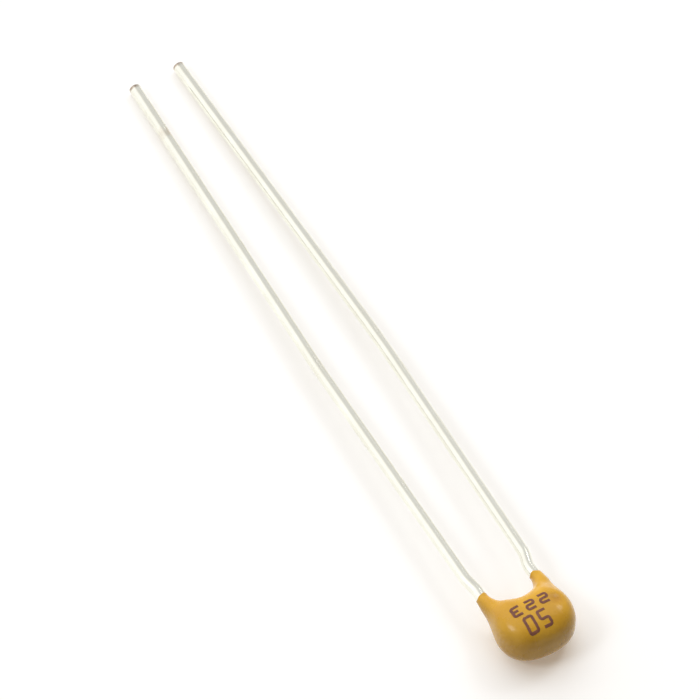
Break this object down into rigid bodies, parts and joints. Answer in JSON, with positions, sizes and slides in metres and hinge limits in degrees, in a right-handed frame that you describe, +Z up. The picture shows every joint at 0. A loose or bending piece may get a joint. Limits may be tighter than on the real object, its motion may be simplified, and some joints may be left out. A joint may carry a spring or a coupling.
{
  "type": "multilayer ceramic capacitor",
  "caption": "Small dipped ceramic capacitor with two long parallel wire leads, for through-hole boards.",
  "frame": {"origin": "on the surface it lies on, under the middle of its overall box", "axes": "+X along the leads to their tips, +Z up from the surface, the leads side by side along Y"},
  "size_m": [0.0335, 0.0034, 0.0022],
  "materials": {
    "epoxy": "satin, dipped and fired",
    "tinned_wire": "bright tin plating",
    "solder": "bright, as flowed",
    "dielectric": "matt, fired",
    "electrode_metal": "fired nickel",
    "ink": "matt printing ink",
    "fired_silver": "fired silver, tinned"
  },
  "bodies": {
    "root": {"coating": "epoxy", "ceramic_chip": "dielectric", "lead_left": "tinned_wire", "lead_right": "tinned_wire", "solder_left": "solder", "solder_right": "solder", "termination_left": "fired_silver", "termination_right": "fired_silver", "electrodes_left": "electrode_metal", "electrodes_right": "electrode_metal"}
  },
  "joints": []
}
